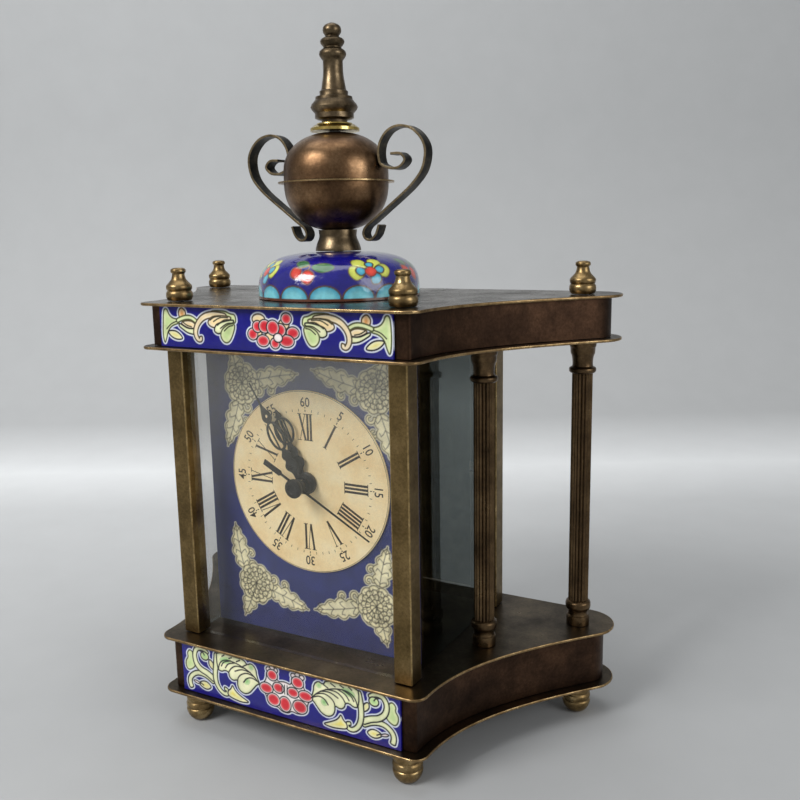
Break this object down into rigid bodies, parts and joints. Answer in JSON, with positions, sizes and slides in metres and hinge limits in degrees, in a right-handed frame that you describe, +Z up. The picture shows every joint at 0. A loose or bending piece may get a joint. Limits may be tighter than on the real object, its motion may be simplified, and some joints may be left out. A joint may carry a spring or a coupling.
{
  "type": "mantel clock",
  "caption": "Brass mantel clock: glazed case with flared plan and columns, enamel front plaques, round dial with three hands, rear door, and an urn with scroll handles on an enamel dome.",
  "frame": {"origin": "on the surface the clock stands on, under the middle of the case", "axes": "+Z up, the dial faces -Y, +X is to the right of someone who reads the dial"},
  "size_m": [0.2214, 0.11, 0.2985],
  "materials": {
    "plate_bronze": "aged bronze patina, worn brighter at the edges",
    "wall_bronze": "dark bronze patina",
    "pillar_brass": "dull aged brass",
    "column_bronze": "brown bronze patina",
    "turned_brass": "turned aged brass",
    "polished_brass": "bright brass",
    "urn_bronze": "warm bronze patina",
    "handle_bronze": "nearly black patina",
    "cobalt_enamel": "glossy vitreous enamel on copper",
    "slate_enamel": "satin slate blue",
    "cream_enamel": "satin cream",
    "clear_glass": "clear pane",
    "black_steel": "black",
    "steel": "plain steel",
    "door_brass": "dull aged brass sheet"
  },
  "bodies": {
    "case": {"base_bottom_plate": "plate_bronze", "base_wall_band": "wall_bronze", "base_enamel_plaque": "cobalt_enamel", "base_top_plate": "plate_bronze", "top_lower_plate": "plate_bronze", "top_wall_band": "wall_bronze", "top_enamel_plaque": "cobalt_enamel", "top_upper_plate": "plate_bronze", "front_left_pillar": "pillar_brass", "front_right_pillar": "pillar_brass", "rear_left_pillar": "pillar_brass", "rear_right_pillar": "pillar_brass", "mid_left_column": "column_bronze", "mid_right_column": "column_bronze", "rear_left_column": "column_bronze", "rear_right_column": "column_bronze", "front_left_finial": "turned_brass", "front_right_finial": "turned_brass", "rear_left_finial": "turned_brass", "rear_right_finial": "turned_brass", "front_left_foot": "turned_brass", "front_right_foot": "turned_brass", "rear_left_foot": "turned_brass", "rear_right_foot": "turned_brass", "front_glass": "clear_glass", "left_glass": "clear_glass", "right_glass": "clear_glass", "dial_panel": "slate_enamel", "dial_disc": "cream_enamel", "enamel_dome": "cobalt_enamel", "urn_foot": "urn_bronze", "urn_lower_bowl": "urn_bronze", "urn_upper_bowl": "urn_bronze", "urn_washer": "polished_brass", "urn_spire": "turned_brass", "urn_tie_bolt": "steel", "urn_left_handle": "handle_bronze", "urn_right_handle": "handle_bronze", "movement_front_plate": "polished_brass", "movement_back_plate": "polished_brass", "mainspring": "steel"},
    "rear_door": {"door_frame": "pillar_brass", "door_panel": "door_brass"},
    "latch": {"door_latch": "turned_brass"},
    "seconds": {"seconds_hand": "black_steel", "fourth_wheel": "polished_brass"},
    "third": {"third_wheel": "polished_brass"},
    "centre": {"centre_wheel": "polished_brass"},
    "great": {"great_wheel": "polished_brass"},
    "escape": {"escape_wheel": "polished_brass"},
    "minutes": {"minute_hand": "black_steel", "cannon_pinion": "steel"},
    "setting": {"minute_wheel": "polished_brass"},
    "hours": {"hour_hand": "black_steel", "hour_wheel": "polished_brass"},
    "lever": {"pallet_lever": "steel"},
    "balance": {"balance_wheel": "polished_brass", "hairspring": "steel"},
    "winding": {"winding_arbor": "steel", "winding_key": "steel"}
  },
  "joints": [
    {"name": "rear_door_hinge", "type": "hinge", "parent": "case", "child": "rear_door", "pos_m": [-0.0468, 0.04245, 0.105], "axis": [0, 0, 1], "range_deg": [0, 100]},
    {"name": "door_latch_turn", "type": "hinge", "parent": "rear_door", "child": "latch", "pos_m": [0.0454, 0.04245, 0.105], "axis": [0, 1, 0], "range_deg": [0, 90]},
    {"name": "seconds_turn", "type": "hinge", "parent": "case", "child": "seconds", "pos_m": [0, -0.0112, 0.1123], "axis": [0, 1, 0], "continuous": true},
    {"name": "third_turn", "type": "hinge", "parent": "case", "child": "third", "pos_m": [-0.01278, -0.0112, 0.11695], "axis": [0, 1, 0], "continuous": true},
    {"name": "centre_turn", "type": "hinge", "parent": "case", "child": "centre", "pos_m": [-0.01404, -0.0112, 0.10261], "axis": [0, 1, 0], "continuous": true},
    {"name": "great_turn", "type": "hinge", "parent": "case", "child": "great", "pos_m": [-0.00197, -0.0112, 0.09248], "axis": [0, 1, 0], "continuous": true},
    {"name": "escape_turn", "type": "hinge", "parent": "case", "child": "escape", "pos_m": [0.01015, -0.0112, 0.11599], "axis": [0, 1, 0], "continuous": true},
    {"name": "minutes_turn", "type": "hinge", "parent": "case", "child": "minutes", "pos_m": [0, -0.0228, 0.1123], "axis": [0, 1, 0], "continuous": true},
    {"name": "setting_turn", "type": "hinge", "parent": "case", "child": "setting", "pos_m": [0.00953, -0.0228, 0.1068], "axis": [0, 1, 0], "continuous": true},
    {"name": "hours_turn", "type": "hinge", "parent": "case", "child": "hours", "pos_m": [0, -0.0252, 0.1123], "axis": [0, 1, 0], "continuous": true},
    {"name": "lever_swing", "type": "hinge", "parent": "case", "child": "lever", "pos_m": [0.00867, -0.0112, 0.12437], "axis": [0, 1, 0], "range_deg": [-5, 5]},
    {"name": "balance_swing", "type": "hinge", "parent": "case", "child": "balance", "pos_m": [0.00711, -0.0112, 0.13323], "axis": [0, 1, 0], "range_deg": [-135, 135]},
    {"name": "winding_turn", "type": "hinge", "parent": "case", "child": "winding", "pos_m": [-0.00197, 0, 0.09248], "axis": [0, 1, 0], "continuous": true}
  ],
  "couplings": [
    {"joint": "third_turn", "follows": "seconds_turn", "ratio": -0.13333},
    {"joint": "centre_turn", "follows": "seconds_turn", "ratio": 0.016667},
    {"joint": "great_turn", "follows": "seconds_turn", "ratio": -0.0027778},
    {"joint": "escape_turn", "follows": "seconds_turn", "ratio": -8},
    {"joint": "setting_turn", "follows": "minutes_turn", "ratio": -0.33333},
    {"joint": "hours_turn", "follows": "minutes_turn", "ratio": 0.083333},
    {"joint": "lever_swing", "follows": "balance_swing", "ratio": -0.037037}
  ]
}
